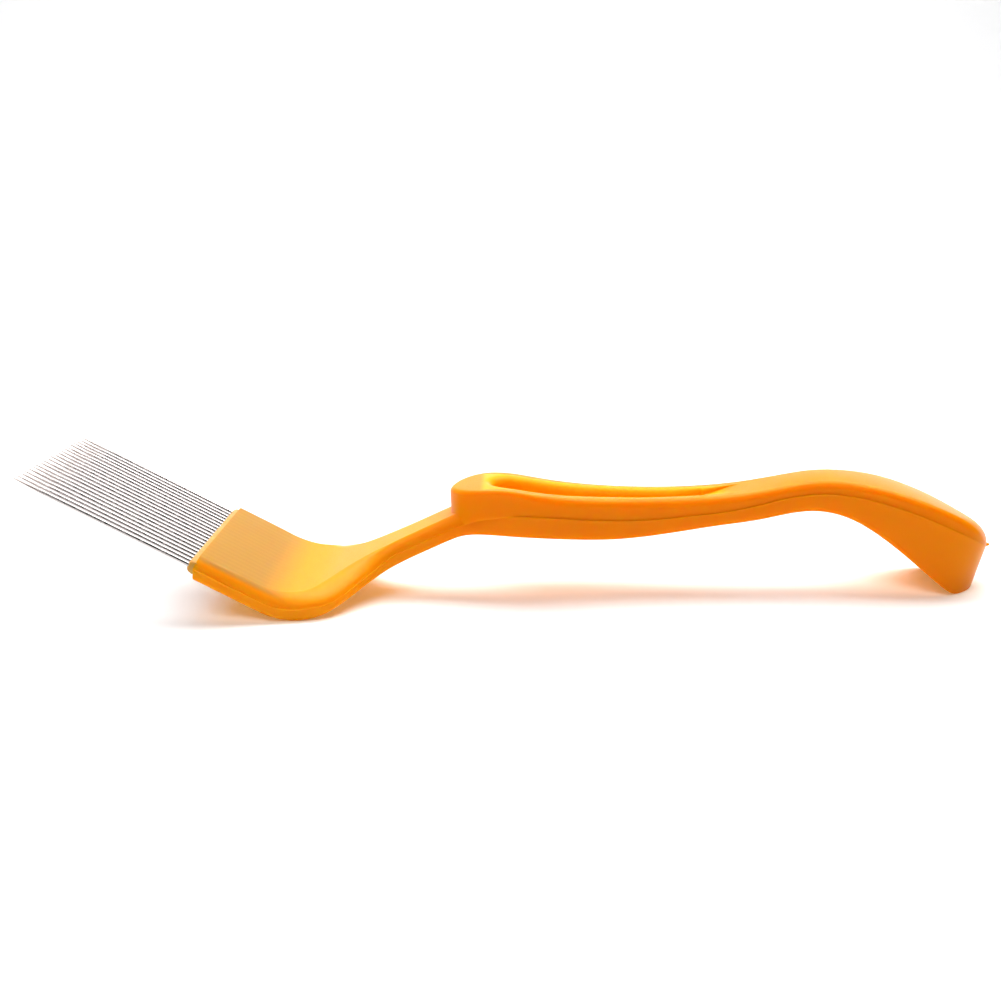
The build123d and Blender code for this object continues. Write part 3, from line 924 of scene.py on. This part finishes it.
def stage_sweep():
    """Table that curves up into a backdrop: a side profile carried across."""
    turn = np.linspace(0, math.pi / 2, 16)
    y = np.concatenate([[-1.5, 0.9], 0.9 + 0.6 * np.sin(turn[1:]), [1.5]])
    z = np.concatenate([[0, 0], 0.6 - 0.6 * np.cos(turn[1:]), [2.5]])
    across = np.array([-2.5, 2.5])
    points = np.stack(np.broadcast_arrays(across[:, None], y[None], z[None]), -1)
    mesh = bpy.data.meshes.new("table_sweep")
    n = len(y)
    faces = [(i, i + 1, i + 1 + n, i + n) for i in range(n - 1)]
    mesh.from_pydata(points.reshape(-1, 3).tolist(), [], [face[::-1] for face in faces])
    mesh.shade_smooth()
    obj = bpy.data.objects.new("table_sweep", mesh)
    bpy.context.scene.collection.objects.link(obj)
    return obj


def area_light(name, place, target, size, power):
    """Rectangular soft light that faces a target."""
    data = bpy.data.lights.new(name, "AREA")
    data.shape = "RECTANGLE"
    data.size, data.size_y = size
    data.energy = power
    light = bpy.data.objects.new(name, data)
    light.location = place
    light.rotation_euler = (Vector(target) - Vector(place)).to_track_quat("-Z", "Y").to_euler()
    bpy.context.scene.collection.objects.link(light)
    return light


class FORK_OT_stage(bpy.types.Operator):
    """Set the table, the lights and the camera"""
    bl_idname = "fork.stage"
    bl_label = "Table, lights and camera"

    def execute(self, context):
        scene = context.scene
        settings = scene.fork_stage
        table = stage_sweep()
        table.data.materials.append(table_material(settings))
        area_light("softbox_top", (0.05, 0.33, 0.75), (0, 0.12, 0), (1.3, 0.62), 16.0)
        area_light("softbox_front", (-0.3, -0.5, 0.75), (0, 0, 0), (0.7, 0.35), 4.4)
        area_light("backdrop_wash", (0.0, 0.55, 1.0), (0, 1.4, 0.35), (1.6, 0.4), 15.0)
        world = bpy.data.worlds.new("studio_air")
        scene.world = world
        world.use_nodes = True
        air = world.node_tree
        direction = air.nodes.new("ShaderNodeTexCoord").outputs["Generated"]
        parts = air.nodes.new("ShaderNodeSeparateXYZ")
        air.links.new(direction, parts.inputs[0])
        high = range_node(air, parts.outputs[2], 0.1, 0.9, 0.07, 0.14)
        behind = range_node(air, parts.outputs[1], 0.1, 0.6, 0.0, 0.35)
        glow = math_node(air, "ADD", high, behind)
        air.links.new(glow, air.nodes["Background"].inputs["Strength"])
        scene.view_settings.view_transform = "Standard"
        data = bpy.data.cameras.new("camera")
        data.sensor_fit = "HORIZONTAL"
        data.angle = settings.lens_angle
        data.clip_start = 0.01
        camera = bpy.data.objects.new("camera", data)
        look = (Matrix.Rotation(settings.camera_turn, 4, "Z")
                @ Matrix.Rotation(math.pi / 2 - settings.camera_down, 4, "X")
                @ Matrix.Rotation(settings.camera_roll, 4, "Z"))
        camera.matrix_world = Matrix.Translation(settings.camera_place) @ look
        scene.collection.objects.link(camera)
        scene.camera = camera
        return {"FINISHED"}


class FORK_PT_panel(bpy.types.Panel):
    """Buttons and settings of the uncapping fork"""
    bl_label = "Uncapping fork"
    bl_idname = "FORK_PT_panel"
    bl_space_type = "VIEW_3D"
    bl_region_type = "UI"
    bl_category = "Uncapping fork"

    def draw(self, context):
        layout = self.layout
        for operator, group in ((FORK_OT_handle, "fork_handle"), (FORK_OT_bar, "fork_needles"),
                                (FORK_OT_needles, None), (FORK_OT_stage, "fork_stage")):
            layout.operator(operator.bl_idname)
            if group:
                settings = getattr(context.scene, group)
                for key in settings.__annotations__:
                    layout.prop(settings, key)


CLASSES = (ForkHandleSettings, ForkNeedleSettings, ForkStageSettings, FORK_OT_handle, FORK_OT_bar,
           FORK_OT_needles, FORK_OT_stage, FORK_PT_panel)


def register():
    for cls in CLASSES:
        bpy.utils.register_class(cls)
    bpy.types.Scene.fork_handle = PointerProperty(type=ForkHandleSettings)
    bpy.types.Scene.fork_needles = PointerProperty(type=ForkNeedleSettings)
    bpy.types.Scene.fork_stage = PointerProperty(type=ForkStageSettings)


def unregister():
    for name in ("fork_handle", "fork_needles", "fork_stage"):
        delattr(bpy.types.Scene, name)
    for cls in reversed(CLASSES):
        bpy.utils.unregister_class(cls)


def main():
    register()
    bpy.ops.fork.handle()
    bpy.ops.fork.bar()
    bpy.ops.fork.needles()
    bpy.ops.fork.stage()


if __name__ == "__main__":
    main()
